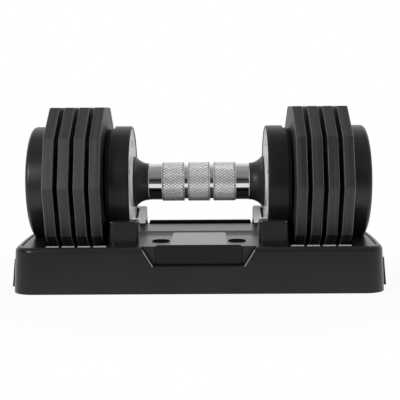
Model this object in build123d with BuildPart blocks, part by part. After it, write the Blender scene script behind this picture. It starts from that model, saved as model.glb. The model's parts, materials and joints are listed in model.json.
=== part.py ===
from build123d import *
import os
from math import cos, pi, radians, tan

os.makedirs("parts", exist_ok=True)

# All sizes are millimetres. X runs along the handle, -Y faces the user, Z = 0 is the floor.

# Fits
press_clearance = 0.05
running_clearance = 0.05
sliding_clearance = 0.3
seat_clearance = 0.4
screw_clearance = 0.25

# Handle axis and grip
axis_height = 97.3
centre_band = 22.0
band_groove = 3.4
outer_band = 22.5
neck_length = 13.7
grip_radius = 19.5
band_groove_radius = 17.4
neck_radius = 18.3
spigot_radius = 16.2
spigot_length = 14.0
tube_bore_radius = 14.0
band_edge = 0.5

# Flared collar between grip and drum
collar_length = 16.4
collar_mouth_radius = 18.6
collar_lip_radius = 25.6
collar_lip_thickness = 1.1
collar_lip_gap = 2.3
collar_hub_radius = 21.4
collar_dial_gap = 0.3

# Drum at each end of the grip
drum_radius = 56.2
drum_depth = 19.7
drum_wall = 3.0
drum_web = 3.0
drum_edge = 1.2
dial_thickness = 1.5
dial_rim = 3.1
dial_bore_radius = 23.0
hook_plate_thickness = 5.6
bush_wall = 2.6
bush_flange_radius = 22.0
bush_flange = 3.0

# Twist lock
lock_ring_thickness = 4.0
lock_ring_radius = 22.0
lock_ring_gap = 0.3
notch_width = 6.6
notch_depth = 4.6
slider_thickness = 3.0
slider_band = 6.0
slider_travel = 4.0
slider_tooth_width = 6.0
slider_foot_width = 12.0
slider_foot_inset = 0.2
lock_spring_radius = 2.8
lock_spring_wire_radius = 0.5
lock_spring_turns = 7
retaining_ring_thickness = 0.8
retaining_ring_radius = 17.0
retaining_groove_depth = 0.9
retaining_ring_opening = 8.0

# Drum weight
weight_inner_radius = 34.0
weight_gap = 0.3
weight_slot = 30.0

# Hook plate screws
hook_screw_count = 4
hook_boss_inset = 7.2
hook_boss_radius = 4.2
small_screw_radius = 1.5
small_screw_length = 10.0
small_screw_head_radius = 2.9
small_socket_radius = 1.15
small_socket_depth = 1.3

# Detent in the right drum
detent_ball_radius = 1.8
detent_circle_radius = 18.6
detent_travel = 0.9
detent_spring_length = 3.4
detent_spring_radius = 1.0
detent_spring_wire_radius = 0.3
detent_spring_turns = 3

# Selector mechanism
setting_count = 5
setting_angle = 72.0
rod_radius = 9.0
rod_flat = 15.0
rod_inner_end = 2.5
rod_tip_setback = 0.5
rod_tip_chamfer = 1.5
tie_bar_side = 7.0
tie_bar_half_length = 63.0
tie_bar_end_gap = 2.0
tie_flange_thickness = 3.6
tie_flange_radius = 13.2
pin_radius = 2.5
pin_x = 7.5
pin_inner_radius = 6.0
pin_tip_radius = 13.4
sleeve_wall = 4.6
sleeve_gap = 0.4

# Ten-sided plates
plate_count = 4
plate_sides = 10
plate_radius = 79.0
plate_thickness = 10.2
plate_gap = 4.4
plate_corner = 1.5
plate_chamfer = 0.8
plate_hole_radius = 9.5
dovetail_depth = 4.0
dovetail_neck = 24.0
dovetail_head = 32.0
rail_height = 56.0
rail_tip_gap = 0.5
rail_pin_radius = 4.0
rail_pin_spacing = 40.0
rail_pin_depth = 5.0

# Round end cap on the outermost plate
cap_radius = 56.0
cap_depth = 20.1
cap_edge = 4.0
cap_wall = 3.0
cap_rim_width = 11.1
cap_dish_depth = 0.8
cap_screw_count = 4
cap_boss_circle_radius = 36.0
cap_boss_radius = 5.0
cap_screw_radius = 2.0
cap_screw_length = 18.0
screw_end_gap = 1.0
cap_screw_head_radius = 3.9
cap_socket_radius = 1.45
cap_socket_depth = 1.7

# Tray
tray_base_height = 1.0
deck_drop = 53.3
tray_end_margin = 10.6
tray_side_margin = 12.8
tray_bow = 4.0
tray_corner = 20.0
tray_draft = 3.0
tray_top_edge = 4.5
tray_wall = 3.0
saddle_overhang = 10.5
saddle_plate_margin = 6.4
saddle_side_wall = 9.4
saddle_drop = 32.2
saddle_draft = 1.5
saddle_corner = 4.5
saddle_edge = 1.2
rim_width = 10.3
divider_thickness = 2.4
divider_drop = 7.0
ledge_groove_inset = 7.5
ledge_groove_width = 1.8
ledge_groove_depth = 3.0
ledge_groove_end_inset = 17.0
notch_top_half_width = 53.0
notch_bottom_half_width = 42.0
front_notch_depth = 10.0
notch_height = 17.4
notch_edge = 0.7
sign_half_width = 40.4
sign_thickness = 1.6
sign_margin = 0.7
sign_rise = 1.4
sign_corner = 3.0
sign_edge = 0.5
rear_lip_half_length = 56.5
rear_lip_inset = 8.3
rear_lip_width = 5.0
rear_lip_rise = 3.0
rear_groove_width = 9.0
rear_groove_depth = 3.0
panel_half_width = 26.5
panel_front_margin = 3.8
panel_length = 83.0
panel_thickness = 0.8
panel_proud = 0.2
panel_corner = 3.0
bolt_spacing = 73.0
bolt_setback = 31.0
bolt_hole_radius = 3.25
bolt_well_radius = 8.0
bolt_well_floor = 14.0
bolt_boss_wall = 2.5
end_grip_inset = 31.8
end_grip_height = 26.0
end_grip_bottom = 2.5
end_grip_reach = 4.0
end_grip_draft = 4.6
buffer_depth = 2.6
buffer_height = 0.8
buffer_spacing = 2.8
buffer_edge = 0.3

# Base cover, feet and their screws
cover_thickness = 2.5
cover_screw_x = 70.0
cover_screw_inset = 19.8
cover_boss_radius = 4.5
foot_radius = 9.0
foot_height = 2.5
foot_end_inset = 37.0
foot_side_inset = 29.8

# Positions that follow from the sizes above
outer_band_start = centre_band / 2 + band_groove
neck_start = outer_band_start + outer_band
neck_end = neck_start + neck_length
spigot_end = neck_end + spigot_length
collar_end = neck_end + collar_length
collar_lip_x = collar_end - collar_lip_gap - collar_lip_thickness
dial_face_x = collar_end + collar_dial_gap
web_face_x = dial_face_x + dial_thickness
web_back_x = web_face_x + drum_web
drum_outer_x = dial_face_x + drum_depth
hook_plate_x = drum_outer_x - hook_plate_thickness
lock_ring_x = web_back_x + bush_flange + lock_ring_gap
lock_ring_end_x = lock_ring_x + lock_ring_thickness
slider_x = lock_ring_x + (lock_ring_thickness - slider_thickness) / 2
retaining_ring_x = lock_ring_end_x + press_clearance
sleeve_end_x = hook_plate_x - sliding_clearance
sleeve_radius = tube_bore_radius - press_clearance
sleeve_bore_radius = sleeve_radius - sleeve_wall
drum_bore_radius = drum_radius - drum_wall
dial_radius = drum_radius - dial_rim
hook_boss_circle_radius = drum_bore_radius - hook_boss_inset
cap_dish_radius = cap_radius - cap_rim_width
window_radius = lock_ring_radius + 2 * sliding_clearance
slider_radius = window_radius + slider_band
slider_top = slider_radius + slider_travel
slider_foot_radius = drum_radius - slider_foot_inset
plate_pitch = plate_thickness + plate_gap
rod_tip_x = drum_outer_x - dovetail_depth - rod_tip_setback
rod_travel = (setting_count - 1) * plate_pitch
cam_lead = rod_travel * 360 / ((setting_count - 1) * setting_angle)
plate_apothem = plate_radius * cos(pi / plate_sides)
well_floor = axis_height - plate_apothem - seat_clearance / 2
cradle_radius = drum_radius + seat_clearance
cap_x = drum_outer_x + plate_count * plate_pitch
cap_outer_x = cap_x + cap_depth
deck_height = axis_height - deck_drop
tray_half_length = cap_outer_x + tray_end_margin
tray_half_depth = plate_radius + tray_side_margin
saddle_inner_x = dial_face_x - saddle_overhang
saddle_outer_x = drum_outer_x + plate_gap - saddle_plate_margin
saddle_half_depth = cradle_radius + saddle_side_wall
saddle_top = axis_height - saddle_drop
well_half_depth = tray_half_depth - rim_width
ledge_groove_half_length = tray_half_depth - ledge_groove_end_inset
notch_floor = deck_height - notch_height
rear_lip_y = tray_half_depth - rear_lip_inset
end_grip_half_depth = tray_half_depth - end_grip_inset
cover_screw_y = tray_half_depth - cover_screw_inset
foot_x = tray_half_length - foot_end_inset
foot_y = tray_half_depth - foot_side_inset
well_outer_x = cap_x + 2 * sliding_clearance
detent_ball_x = collar_end + running_clearance + detent_ball_radius
detent_bore_radius = detent_ball_radius + running_clearance
cover_top = tray_base_height + cover_thickness
cover_seat = cover_top + press_clearance
notch_back_y = -tray_half_depth + front_notch_depth
panel_centre_y = notch_back_y + panel_front_margin + panel_length / 2
bolt_y = notch_back_y + bolt_setback
wall_lean = (deck_height - tray_base_height) * tan(radians(tray_draft))
rim_flat_y = tray_half_depth - tray_top_edge - wall_lean
buffer_y = (rim_flat_y + well_half_depth) / 2
cavity_top = min(axis_height - cradle_radius, deck_height - rear_groove_depth) - tray_wall
cover_inset = tray_wall + wall_lean + sliding_clearance
handle_axis = Axis((0, 0, axis_height), (1, 0, 0))
profile_plane = Plane(origin=(0, 0, axis_height), x_dir=(1, 0, 0), z_dir=(0, -1, 0))


def plate_x(number):
    return drum_outer_x + plate_gap + (number - 1) * plate_pitch


def section_plane(x):
    return Plane(origin=(x, 0, axis_height), x_dir=(0, 1, 0), z_dir=(1, 0, 0))


def ring_profile(x_start, x_end, inner_radius, outer_radius):
    with Locations(((x_start + x_end) / 2, (inner_radius + outer_radius) / 2)):
        Rectangle(x_end - x_start, outer_radius - inner_radius)


def tray_outline(inset):
    x_end = tray_half_length - inset
    x_corner = x_end - tray_bow
    y_side = tray_half_depth - inset
    with BuildLine() as outline:
        Line((-x_corner, -y_side), (x_corner, -y_side))
        ThreePointArc((x_corner, -y_side), (x_end, 0), (x_corner, y_side))
        Line((x_corner, y_side), (-x_corner, y_side))
        ThreePointArc((-x_corner, y_side), (-x_end, 0), (-x_corner, -y_side))
    face = make_face(outline.edges())
    fillet(face.vertices(), tray_corner - inset / 2)


def groove_outline(x_mouth):
    with BuildLine() as outline:
        Polyline(
            (x_mouth, -dovetail_neck / 2),
            (x_mouth, dovetail_neck / 2),
            (x_mouth - dovetail_depth, dovetail_head / 2),
            (x_mouth - dovetail_depth, -dovetail_head / 2),
            close=True,
        )
    make_face(outline.edges())


def export_piece(part, name):
    part.label = name
    export_step(part, f"parts/{name}.step")


def export_pair(part, name):
    export_piece(part, f"{name}_right")
    with BuildPart() as twin:
        mirror(part, about=Plane.YZ)
    export_piece(twin.part, f"{name}_left")


# Grip tube with three raised bands
with BuildPart() as grip_tube:
    with BuildSketch(profile_plane):
        ring_profile(-spigot_end, spigot_end, tube_bore_radius, spigot_radius)
        ring_profile(-neck_end, neck_end, tube_bore_radius, band_groove_radius)
        ring_profile(-centre_band / 2, centre_band / 2, tube_bore_radius, grip_radius)
        ring_profile(outer_band_start, neck_start, tube_bore_radius, grip_radius)
        ring_profile(-neck_start, -outer_band_start, tube_bore_radius, grip_radius)
        ring_profile(neck_start, neck_end, tube_bore_radius, neck_radius)
        ring_profile(-neck_end, -neck_start, tube_bore_radius, neck_radius)
    revolve(axis=handle_axis)
    bands = grip_tube.faces().filter_by(GeomType.CYLINDER).group_by(SortBy.RADIUS)[-1]
    chamfer(bands.edges().filter_by(GeomType.CIRCLE), band_edge)
export_piece(grip_tube.part, "grip_tube")

# Flared collar, with detent dimples in the face towards the drum
with BuildPart() as collar:
    with BuildSketch(profile_plane):
        with BuildLine():
            flare = TangentArc(
                (neck_end, collar_mouth_radius),
                (collar_lip_x, collar_lip_radius),
                tangent=(1, 0),
            )
            Polyline(
                flare @ 1,
                (collar_lip_x + collar_lip_thickness, collar_lip_radius),
                (collar_lip_x + collar_lip_thickness, collar_hub_radius),
                (collar_end, collar_hub_radius),
                (collar_end, spigot_radius + press_clearance),
                (neck_end, spigot_radius + press_clearance),
                flare @ 0,
            )
        make_face()
    revolve(axis=handle_axis)
    with Locations(section_plane(detent_ball_x - detent_travel)):
        with PolarLocations(detent_circle_radius, setting_count):
            Sphere(detent_ball_radius + running_clearance, mode=Mode.SUBTRACT)
export_pair(collar.part, "collar")

# Cam sleeve with its helical slot
with BuildPart() as cam_sleeve:
    with BuildSketch(profile_plane):
        ring_profile(
            tie_flange_thickness / 2 + sleeve_gap, sleeve_end_x, sleeve_bore_radius, sleeve_radius
        )
        retaining_groove_end = retaining_ring_x + retaining_ring_thickness + 2 * press_clearance
        with Locations(
            ((retaining_ring_x + retaining_groove_end) / 2 - press_clearance, sleeve_radius)
        ):
            Rectangle(
                retaining_groove_end - retaining_ring_x,
                2 * retaining_groove_depth,
                mode=Mode.SUBTRACT,
            )
    revolve(axis=handle_axis)
    with BuildLine() as slot_path:
        Helix(
            pitch=cam_lead,
            height=rod_travel,
            radius=(sleeve_radius + sleeve_bore_radius) / 2,
            center=(pin_x, 0, axis_height),
            direction=(1, 0, 0),
            lefthand=True,
        )
    slot_start = slot_path.line @ 0
    slot_width = 2 * (pin_radius + sliding_clearance)
    with BuildSketch(Plane(origin=slot_start, x_dir=(0, 0, 1), z_dir=slot_path.line % 0)):
        Rectangle(1.5 * sleeve_wall, slot_width)
    sweep(is_frenet=True, mode=Mode.SUBTRACT)
    slot_end = slot_path.line @ 1
    slot_radial = (slot_end - Vector(slot_end.X, 0, axis_height)).normalized()
    with BuildSketch(
        Plane(origin=slot_start, x_dir=(1, 0, 0), z_dir=(0, 0, 1)),
        Plane(origin=slot_end, x_dir=(1, 0, 0), z_dir=slot_radial),
    ):
        Circle(slot_width / 2)
    extrude(amount=0.75 * sleeve_wall, both=True, mode=Mode.SUBTRACT)
export_pair(cam_sleeve.part, "cam_sleeve")

# Lock ring with one notch for each setting
with BuildPart() as lock_ring:
    with BuildSketch(section_plane(lock_ring_x)):
        Circle(lock_ring_radius)
        Circle(sleeve_radius + press_clearance, mode=Mode.SUBTRACT)
        with PolarLocations(lock_ring_radius, setting_count, start_angle=90):
            Rectangle(2 * notch_depth, notch_width, mode=Mode.SUBTRACT)
    extrude(amount=lock_ring_thickness)
export_pair(lock_ring.part, "lock_ring")

# Retaining ring that holds the lock ring on the sleeve
with BuildPart() as retaining_ring:
    with BuildSketch(section_plane(retaining_ring_x)):
        Circle(retaining_ring_radius)
        Circle(sleeve_radius - retaining_groove_depth + press_clearance, mode=Mode.SUBTRACT)
        Rectangle(
            retaining_ring_opening,
            2 * retaining_ring_radius,
            align=(Align.CENTER, Align.MAX),
            mode=Mode.SUBTRACT,
        )
    extrude(amount=retaining_ring_thickness)
export_pair(retaining_ring.part, "retaining_ring")

# Drum shell: a cup that is open towards the plates
with BuildPart() as drum_shell:
    with BuildSketch(section_plane(dial_face_x)):
        Circle(drum_radius)
    extrude(amount=drum_depth)
    fillet(drum_shell.edges().filter_by(GeomType.CIRCLE), drum_edge)
    with BuildSketch(section_plane(dial_face_x)):
        Circle(dial_radius + press_clearance)
    extrude(amount=dial_thickness, mode=Mode.SUBTRACT)
    with BuildSketch(section_plane(web_back_x)):
        Circle(drum_bore_radius)
    extrude(amount=drum_depth, mode=Mode.SUBTRACT)
    with BuildSketch(section_plane(web_face_x)):
        Circle(sleeve_radius + running_clearance + bush_wall + press_clearance)
    extrude(amount=drum_web, mode=Mode.SUBTRACT)
    with BuildSketch(section_plane(web_back_x)):
        with PolarLocations(hook_boss_circle_radius, hook_screw_count, start_angle=45):
            Circle(hook_boss_radius)
    extrude(amount=hook_plate_x - press_clearance - web_back_x)
    with BuildSketch(section_plane(web_back_x)):
        with PolarLocations(hook_boss_circle_radius, hook_screw_count, start_angle=45):
            Circle(small_screw_radius + press_clearance)
    extrude(amount=drum_depth, mode=Mode.SUBTRACT)
    with BuildSketch(Plane.XY):
        with Locations((slider_x + slider_thickness / 2, 0)):
            Rectangle(
                slider_thickness + 2 * sliding_clearance,
                slider_foot_width + 2 * sliding_clearance,
            )
    extrude(amount=axis_height - drum_bore_radius / 2, mode=Mode.SUBTRACT)
    with BuildSketch(Plane.XY):
        with Locations((drum_outer_x - dovetail_depth, 0)):
            Rectangle(
                dovetail_depth,
                dovetail_head + 4 * sliding_clearance,
                align=(Align.MIN, Align.CENTER),
            )
    extrude(amount=2 * axis_height, mode=Mode.SUBTRACT)
with BuildPart() as drum_shell_right:
    add(drum_shell.part)
    with BuildSketch(section_plane(web_face_x)):
        with Locations((detent_circle_radius, 0)):
            Circle(detent_bore_radius)
    extrude(amount=drum_web, mode=Mode.SUBTRACT)
with BuildPart() as drum_shell_left:
    mirror(drum_shell.part, about=Plane.YZ)
export_piece(drum_shell_right.part, "drum_shell_right")
export_piece(drum_shell_left.part, "drum_shell_left")

# Dial plate on the face towards the hand
with BuildPart() as dial_plate:
    with BuildSketch(section_plane(dial_face_x)):
        Circle(dial_radius)
        Circle(dial_bore_radius, mode=Mode.SUBTRACT)
    extrude(amount=dial_thickness)
export_pair(dial_plate.part, "dial_plate")

# Hook plate closing the drum, with the dovetail groove and the rod guide
with BuildPart() as hook_plate:
    with BuildSketch(section_plane(hook_plate_x)):
        Circle(drum_bore_radius - press_clearance)
    extrude(amount=hook_plate_thickness)
    with BuildSketch(Plane.XY):
        groove_outline(drum_outer_x)
    extrude(amount=2 * axis_height, mode=Mode.SUBTRACT)
    with BuildSketch(section_plane(hook_plate_x)):
        Circle(rod_radius + sliding_clearance)
        Rectangle(
            rod_flat + 2 * sliding_clearance,
            4 * rod_radius,
            mode=Mode.INTERSECT,
        )
    extrude(amount=hook_plate_thickness, mode=Mode.SUBTRACT)
    with Locations(section_plane(drum_outer_x)):
        with PolarLocations(hook_boss_circle_radius, hook_screw_count, start_angle=45):
            CounterSinkHole(
                small_screw_radius + screw_clearance,
                small_screw_head_radius + screw_clearance,
            )
export_pair(hook_plate.part, "hook_plate")

# Countersunk screws of both hook plates
with BuildPart() as hook_screw_set:
    with BuildSketch(section_plane(drum_outer_x - small_screw_length)):
        with PolarLocations(hook_boss_circle_radius, hook_screw_count, start_angle=45):
            Circle(small_screw_radius)
    extrude(amount=small_screw_length)
    head_height = small_screw_head_radius - small_screw_radius
    with BuildSketch(section_plane(drum_outer_x - head_height)):
        with PolarLocations(hook_boss_circle_radius, hook_screw_count, start_angle=45):
            Circle(small_screw_radius)
    extrude(amount=head_height, taper=-45)
    with BuildSketch(section_plane(drum_outer_x)):
        with PolarLocations(hook_boss_circle_radius, hook_screw_count, start_angle=45):
            RegularPolygon(small_socket_radius, 6)
    extrude(amount=-small_socket_depth, mode=Mode.SUBTRACT)
    mirror(about=Plane.YZ)
export_piece(hook_screw_set.part, "hook_plate_screws")

# Iron drum weight in two halves, front and rear
with BuildPart() as drum_weight:
    with BuildSketch(section_plane(web_back_x + weight_gap)):
        Circle(drum_bore_radius - weight_gap)
        Circle(weight_inner_radius, mode=Mode.SUBTRACT)
        Rectangle(weight_slot, 4 * drum_radius, mode=Mode.SUBTRACT)
        with PolarLocations(hook_boss_circle_radius, hook_screw_count, start_angle=45):
            Circle(hook_boss_radius + weight_gap, mode=Mode.SUBTRACT)
            Rectangle(
                2 * hook_boss_radius + 4 * weight_gap,
                2 * hook_boss_radius + 2 * weight_gap,
                align=(Align.MIN, Align.CENTER),
                mode=Mode.SUBTRACT,
            )
    extrude(amount=hook_plate_x - web_back_x - 2 * weight_gap)
export_pair(drum_weight.part, "drum_weight")

# Bearing bush in the drum web
with BuildPart() as bearing_bush:
    with BuildSketch(profile_plane):
        ring_profile(
            web_face_x,
            web_back_x + bush_flange,
            sleeve_radius + running_clearance,
            sleeve_radius + running_clearance + bush_wall,
        )
        ring_profile(
            web_back_x,
            web_back_x + bush_flange,
            sleeve_radius + running_clearance,
            bush_flange_radius,
        )
    revolve(axis=handle_axis)
with BuildPart() as bearing_bush_right:
    add(bearing_bush.part)
    with BuildSketch(section_plane(web_back_x)):
        with Locations((detent_circle_radius, 0)):
            Circle(detent_bore_radius)
    pocket_end_x = detent_ball_x + detent_ball_radius + detent_spring_length
    extrude(amount=pocket_end_x - web_back_x, mode=Mode.SUBTRACT)
with BuildPart() as bearing_bush_left:
    mirror(bearing_bush.part, about=Plane.YZ)
export_piece(bearing_bush_right.part, "bearing_bush_right")
export_piece(bearing_bush_left.part, "bearing_bush_left")

# Lock slider: a window around the lock ring, a tooth above it and a foot below
with BuildPart() as lock_slider:
    with BuildSketch(section_plane(slider_x)):
        Circle(slider_radius)
        with Locations((0, slider_travel)):
            Circle(slider_radius)
        with Locations((0, slider_travel / 2)):
            Rectangle(2 * slider_radius, slider_travel)
        Rectangle(slider_foot_width, slider_foot_radius, align=(Align.CENTER, Align.MAX))
        Circle(window_radius, mode=Mode.SUBTRACT)
        with Locations((0, slider_travel)):
            Circle(window_radius, mode=Mode.SUBTRACT)
        with Locations((0, slider_travel / 2)):
            Rectangle(2 * window_radius, slider_travel, mode=Mode.SUBTRACT)
        with Locations((0, window_radius)):
            Rectangle(
                slider_tooth_width,
                slider_travel + slider_band / 2,
                align=(Align.CENTER, Align.MIN),
            )
    extrude(amount=slider_thickness)
export_pair(lock_slider.part, "lock_slider")

# Lock spring between the slider and the top of the drum
spring_height = drum_bore_radius - slider_top - 2 * lock_spring_wire_radius - 2 * press_clearance
with BuildPart() as lock_spring:
    with BuildLine() as spring_path:
        Helix(
            pitch=spring_height / lock_spring_turns,
            height=spring_height,
            radius=lock_spring_radius,
            center=(
                slider_x + slider_thickness / 2,
                0,
                axis_height + slider_top + lock_spring_wire_radius + press_clearance,
            ),
        )
    with BuildSketch(Plane(origin=spring_path.line @ 0, z_dir=spring_path.line % 0)):
        Circle(lock_spring_wire_radius)
    sweep(is_frenet=True)
export_pair(lock_spring.part, "lock_spring")

# Detent ball and its spring
with BuildPart() as detent_ball:
    with Locations((detent_ball_x, detent_circle_radius, axis_height)):
        Sphere(detent_ball_radius)
export_piece(detent_ball.part, "detent_ball")

with BuildPart() as detent_spring:
    with BuildLine() as detent_path:
        Helix(
            pitch=(detent_spring_length - 3 * detent_spring_wire_radius) / detent_spring_turns,
            height=detent_spring_length - 3 * detent_spring_wire_radius,
            radius=detent_spring_radius,
            center=(
                detent_ball_x + detent_ball_radius + detent_spring_wire_radius,
                detent_circle_radius,
                axis_height,
            ),
            direction=(1, 0, 0),
        )
    with BuildSketch(Plane(origin=detent_path.line @ 0, z_dir=detent_path.line % 0)):
        Circle(detent_spring_wire_radius)
    sweep(is_frenet=True)
export_piece(detent_spring.part, "detent_spring")

# Tie bar with its centre flange, between the two cam sleeves
with BuildPart() as tie_bar:
    with BuildSketch(section_plane(-tie_bar_half_length)):
        Rectangle(tie_bar_side, tie_bar_side)
    extrude(amount=2 * tie_bar_half_length)
    with BuildSketch(section_plane(-tie_flange_thickness / 2)):
        Circle(tie_flange_radius)
    extrude(amount=tie_flange_thickness)
export_piece(tie_bar.part, "tie_bar")

# Selector rod with flats and a square bore for the tie bar
with BuildPart() as rod:
    with BuildSketch(section_plane(rod_inner_end)):
        Circle(rod_radius)
    extrude(amount=rod_tip_x - rod_inner_end)
    chamfer(rod.faces().sort_by(Axis.X)[-1].edges(), rod_tip_chamfer)
    with BuildSketch(section_plane(rod_inner_end)):
        Rectangle(rod_flat, 4 * rod_radius)
    extrude(amount=rod_tip_x - rod_inner_end, mode=Mode.INTERSECT)
    with BuildSketch(section_plane(rod_inner_end)):
        Rectangle(tie_bar_side + 2 * sliding_clearance, tie_bar_side + 2 * sliding_clearance)
    extrude(amount=tie_bar_half_length - rod_inner_end + tie_bar_end_gap, mode=Mode.SUBTRACT)
    with BuildSketch(Plane(origin=(pin_x, 0, axis_height + pin_inner_radius))):
        Circle(pin_radius + press_clearance)
    extrude(amount=rod_radius, mode=Mode.SUBTRACT)
export_pair(rod.part, "rod")

# Follower pin that runs in the cam slot
with BuildPart() as follower_pin:
    with BuildSketch(Plane(origin=(pin_x, 0, axis_height + pin_inner_radius))):
        Circle(pin_radius)
    extrude(amount=pin_tip_radius - pin_inner_radius)
export_pair(follower_pin.part, "follower_pin")

# Ten-sided plates, each with a dovetail rail pinned to its inner face
for number in range(1, plate_count + 1):
    inner_x = plate_x(number)
    mouth_x = inner_x - plate_gap
    with BuildPart() as plate:
        with BuildSketch(section_plane(inner_x)):
            RegularPolygon(plate_radius, plate_sides)
        extrude(amount=plate_thickness)
        fillet(plate.edges().filter_by(Axis.X), plate_corner)
        chamfer(plate.edges().filter_by(Axis.X, reverse=True), plate_chamfer)
        with BuildSketch(section_plane(inner_x)):
            Circle(plate_hole_radius)
        extrude(amount=plate_thickness, mode=Mode.SUBTRACT)
        with BuildSketch(section_plane(inner_x)):
            with GridLocations(0, rail_pin_spacing, 1, 2):
                Circle(rail_pin_radius + press_clearance)
        extrude(amount=rail_pin_depth + press_clearance, mode=Mode.SUBTRACT)
        if number < plate_count:
            with BuildSketch(Plane.XY):
                groove_outline(inner_x + plate_thickness)
            extrude(amount=2 * axis_height, mode=Mode.SUBTRACT)
        else:
            with Locations(section_plane(inner_x).rotated((0, 180, 0))):
                with PolarLocations(cap_boss_circle_radius, cap_screw_count, start_angle=45):
                    CounterSinkHole(
                        cap_screw_radius + screw_clearance,
                        cap_screw_head_radius + screw_clearance,
                    )
    export_pair(plate.part, f"plate_{number}")

    with BuildPart() as rail:
        neck_half = dovetail_neck / 2 - sliding_clearance
        tongue = dovetail_depth - rail_tip_gap
        spread = (dovetail_head - dovetail_neck) / 2 * tongue / dovetail_depth
        with BuildSketch(Plane.XY.offset(axis_height - rail_height / 2)):
            with BuildLine():
                Polyline(
                    (inner_x, -neck_half),
                    (inner_x, neck_half),
                    (mouth_x, neck_half),
                    (mouth_x - tongue, neck_half + spread),
                    (mouth_x - tongue, -neck_half - spread),
                    (mouth_x, -neck_half),
                    close=True,
                )
            make_face()
        extrude(amount=rail_height)
        with BuildSketch(section_plane(mouth_x - dovetail_depth)):
            Circle(plate_hole_radius)
        extrude(amount=plate_pitch, mode=Mode.SUBTRACT)
        with BuildSketch(section_plane(inner_x)):
            with GridLocations(0, rail_pin_spacing, 1, 2):
                Circle(rail_pin_radius)
        extrude(amount=rail_pin_depth)
    export_pair(rail.part, f"rail_{number}")

# Round end cap on the outermost plate
with BuildPart() as end_cap:
    with BuildSketch(section_plane(cap_x)):
        Circle(cap_radius)
    extrude(amount=cap_depth)
    fillet(end_cap.faces().sort_by(Axis.X)[-1].edges(), cap_edge)
    with BuildSketch(section_plane(cap_x)):
        Circle(cap_radius - cap_wall)
    extrude(amount=cap_depth - cap_wall - cap_dish_depth, mode=Mode.SUBTRACT)
    with BuildSketch(section_plane(cap_outer_x - cap_dish_depth)):
        Circle(cap_dish_radius)
    extrude(amount=cap_dish_depth, mode=Mode.SUBTRACT)
    with BuildSketch(section_plane(cap_x)):
        with PolarLocations(cap_boss_circle_radius, cap_screw_count, start_angle=45):
            Circle(cap_boss_radius)
    extrude(amount=cap_depth - cap_wall - cap_dish_depth)
    with BuildSketch(section_plane(cap_x)):
        with PolarLocations(cap_boss_circle_radius, cap_screw_count, start_angle=45):
            Circle(cap_screw_radius + press_clearance)
    extrude(amount=cap_screw_length - plate_thickness + screw_end_gap, mode=Mode.SUBTRACT)
export_pair(end_cap.part, "end_cap")

# Countersunk screws that hold the end cap, from the hidden face of the outermost plate
with BuildPart() as cap_screw_set:
    last_x = plate_x(plate_count)
    with BuildSketch(section_plane(last_x)):
        with PolarLocations(cap_boss_circle_radius, cap_screw_count, start_angle=45):
            Circle(cap_screw_radius)
    extrude(amount=cap_screw_length)
    with BuildSketch(section_plane(last_x)):
        with PolarLocations(cap_boss_circle_radius, cap_screw_count, start_angle=45):
            Circle(cap_screw_head_radius)
    extrude(amount=cap_screw_head_radius - cap_screw_radius, taper=45)
    with BuildSketch(section_plane(last_x)):
        with PolarLocations(cap_boss_circle_radius, cap_screw_count, start_angle=45):
            RegularPolygon(cap_socket_radius, 6)
    extrude(amount=cap_socket_depth, mode=Mode.SUBTRACT)
export_pair(cap_screw_set.part, "end_cap_screws")

# Hollow inside the tray shell, open at the bottom
with BuildPart() as tray_cavity:
    with BuildSketch():
        tray_outline(tray_wall + wall_lean)
    extrude(amount=cavity_top)
    with BuildSketch(Plane.XY.offset(cover_seat)):
        with Locations((saddle_outer_x - tray_wall, 0), (-saddle_outer_x + tray_wall, 0)):
            Rectangle(tray_wall, 2 * tray_half_depth)
        with Locations((well_outer_x, 0), (-well_outer_x - tray_wall, 0)):
            Rectangle(tray_wall, 2 * tray_half_depth, align=(Align.MIN, Align.CENTER))
        with Locations((bolt_spacing / 2, bolt_y), (-bolt_spacing / 2, bolt_y)):
            Circle(bolt_well_radius + bolt_boss_wall)
        with GridLocations(2 * cover_screw_x, 2 * cover_screw_y, 2, 2):
            Circle(cover_boss_radius)
        with Locations((0, -cover_screw_y), (0, cover_screw_y)):
            Circle(cover_boss_radius)
    extrude(amount=axis_height, mode=Mode.SUBTRACT)
    with BuildSketch(Plane.XY.offset(well_floor - tray_wall)):
        with Locations((saddle_outer_x - tray_wall, 0)):
            Rectangle(
                well_outer_x - saddle_outer_x + 2 * tray_wall,
                2 * tray_half_depth,
                align=(Align.MIN, Align.CENTER),
            )
        with Locations((-saddle_outer_x + tray_wall, 0)):
            Rectangle(
                well_outer_x - saddle_outer_x + 2 * tray_wall,
                2 * tray_half_depth,
                align=(Align.MAX, Align.CENTER),
            )
    extrude(amount=axis_height, mode=Mode.SUBTRACT)
    with BuildSketch(Plane.XY.offset(notch_floor - tray_wall)):
        with Locations((0, -tray_half_depth)):
            Rectangle(
                2 * notch_top_half_width + 2 * tray_wall,
                front_notch_depth + tray_wall,
                align=(Align.CENTER, Align.MIN),
            )
    extrude(amount=axis_height, mode=Mode.SUBTRACT)

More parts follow.
